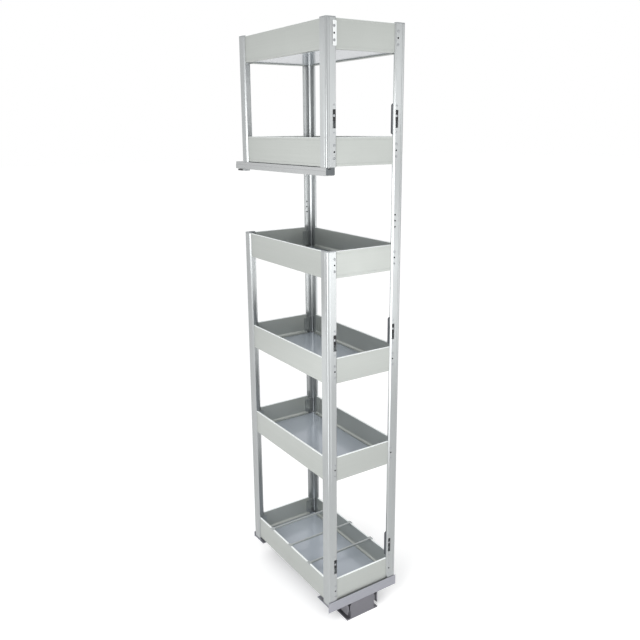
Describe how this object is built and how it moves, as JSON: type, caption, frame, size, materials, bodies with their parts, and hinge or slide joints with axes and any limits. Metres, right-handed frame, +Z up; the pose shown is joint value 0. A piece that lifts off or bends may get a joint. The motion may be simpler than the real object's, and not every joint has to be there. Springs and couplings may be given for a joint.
{
  "type": "pull out larder unit",
  "caption": "Tall narrow pull-out larder: an aluminium frame of stacked trays on a full-extension floor runner, with slots in the front posts for a cabinet door.",
  "frame": {"origin": "centre of the base, on the cabinet floor", "axes": "+Z up, the front with the door slots faces -Y, the side with the guide rail is -X"},
  "size_m": [0.254, 0.5084, 1.72],
  "materials": {
    "anodised_aluminium": "satin silver anodised",
    "tray_aluminium": "satin silver anodised",
    "floor_board": "gloss grey laminate",
    "chromed_steel": "bright chrome",
    "grey_plastic": "moulded matt",
    "black_plastic": "moulded matt",
    "dark_zinc": "dark zinc lacquer",
    "zinc_steel": "bright zinc plated"
  },
  "bodies": {
    "cabinet_rail": {"cabinet_rail": "zinc_steel"},
    "runner_middle_left": {"runner_middle_left": "zinc_steel"},
    "runner_middle_right": {"runner_middle_right": "zinc_steel"},
    "larder": {"front_left_upper_post": "anodised_aluminium", "front_left_lower_post": "anodised_aluminium", "rear_left_upper_post": "anodised_aluminium", "rear_left_lower_post": "anodised_aluminium", "front_right_post": "anodised_aluminium", "rear_right_post": "anodised_aluminium", "guide_rail": "anodised_aluminium", "tray_1_front_panel": "tray_aluminium", "tray_1_rear_panel": "tray_aluminium", "tray_1_left_panel": "tray_aluminium", "tray_1_right_panel": "tray_aluminium", "tray_2_front_panel": "tray_aluminium", "tray_2_rear_panel": "tray_aluminium", "tray_2_left_panel": "tray_aluminium", "tray_2_right_panel": "tray_aluminium", "tray_3_front_panel": "tray_aluminium", "tray_3_rear_panel": "tray_aluminium", "tray_3_left_panel": "tray_aluminium", "tray_3_right_panel": "tray_aluminium", "tray_4_front_panel": "tray_aluminium", "tray_4_rear_panel": "tray_aluminium", "tray_4_left_panel": "tray_aluminium", "tray_4_right_panel": "tray_aluminium", "tray_5_front_panel": "tray_aluminium", "tray_5_rear_panel": "tray_aluminium", "tray_5_left_panel": "tray_aluminium", "tray_5_right_panel": "tray_aluminium", "tray_6_front_panel": "tray_aluminium", "tray_6_rear_panel": "tray_aluminium", "tray_6_left_panel": "tray_aluminium", "tray_6_right_panel": "tray_aluminium", "tray_1_floor": "floor_board", "tray_2_floor": "floor_board", "tray_3_floor": "floor_board", "tray_4_floor": "floor_board", "tray_5_floor": "floor_board", "tray_6_floor": "floor_board", "guide_rail_cap": "grey_plastic", "door_bracket_top_left": "dark_zinc", "door_bracket_top_right": "dark_zinc", "door_bracket_middle_left": "dark_zinc", "door_bracket_middle_right": "dark_zinc", "door_bracket_bottom_left": "dark_zinc", "door_bracket_bottom_right": "dark_zinc", "front_cross_member": "zinc_steel", "rear_cross_member": "zinc_steel", "runner_carriage": "zinc_steel"},
    "guide_shoe": {"guide_shoe": "black_plastic"},
    "divider_front": {"divider_front": "chromed_steel"},
    "divider_middle": {"divider_middle": "chromed_steel"},
    "divider_rear": {"divider_rear": "chromed_steel"},
    "door_adjuster_top_left": {"door_adjuster_top_left": "black_plastic"},
    "door_adjuster_top_right": {"door_adjuster_top_right": "black_plastic"},
    "door_adjuster_middle_left": {"door_adjuster_middle_left": "black_plastic"},
    "door_adjuster_middle_right": {"door_adjuster_middle_right": "black_plastic"},
    "door_adjuster_bottom_left": {"door_adjuster_bottom_left": "black_plastic"},
    "door_adjuster_bottom_right": {"door_adjuster_bottom_right": "black_plastic"}
  },
  "joints": [
    {"name": "larder_slide", "type": "slide", "parent": "cabinet_rail", "child": "larder", "axis": [0, -1, 0], "range_m": [0, 0.44]},
    {"name": "middle_left_slide", "type": "slide", "parent": "cabinet_rail", "child": "runner_middle_left", "axis": [0, -1, 0], "range_m": [0, 0.22]},
    {"name": "middle_right_slide", "type": "slide", "parent": "cabinet_rail", "child": "runner_middle_right", "axis": [0, -1, 0], "range_m": [0, 0.22]},
    {"name": "guide_shoe_slide", "type": "slide", "parent": "larder", "child": "guide_shoe", "axis": [0, -1, 0], "range_m": [0, 0.437]},
    {"name": "divider_front_slide", "type": "slide", "parent": "larder", "child": "divider_front", "axis": [0, 1, 0], "range_m": [-0.065, 0.04]},
    {"name": "divider_middle_slide", "type": "slide", "parent": "larder", "child": "divider_middle", "axis": [0, 1, 0], "range_m": [-0.04, 0.04]},
    {"name": "divider_rear_slide", "type": "slide", "parent": "larder", "child": "divider_rear", "axis": [0, 1, 0], "range_m": [-0.04, 0.065]},
    {"name": "door_adjuster_top_left_slide", "type": "slide", "parent": "larder", "child": "door_adjuster_top_left", "axis": [0, 0, 1], "range_m": [-0.0175, 0.0015]},
    {"name": "door_adjuster_top_right_slide", "type": "slide", "parent": "larder", "child": "door_adjuster_top_right", "axis": [0, 0, 1], "range_m": [-0.0175, 0.0015]},
    {"name": "door_adjuster_middle_left_slide", "type": "slide", "parent": "larder", "child": "door_adjuster_middle_left", "axis": [0, 0, 1], "range_m": [-0.0175, 0.0015]},
    {"name": "door_adjuster_middle_right_slide", "type": "slide", "parent": "larder", "child": "door_adjuster_middle_right", "axis": [0, 0, 1], "range_m": [-0.0175, 0.0015]},
    {"name": "door_adjuster_bottom_left_slide", "type": "slide", "parent": "larder", "child": "door_adjuster_bottom_left", "axis": [0, 0, 1], "range_m": [-0.0175, 0.0015]},
    {"name": "door_adjuster_bottom_right_slide", "type": "slide", "parent": "larder", "child": "door_adjuster_bottom_right", "axis": [0, 0, 1], "range_m": [-0.0175, 0.0015]}
  ],
  "couplings": [
    {"joint": "middle_left_slide", "follows": "larder_slide", "ratio": 0.5},
    {"joint": "middle_right_slide", "follows": "larder_slide", "ratio": 0.5}
  ]
}
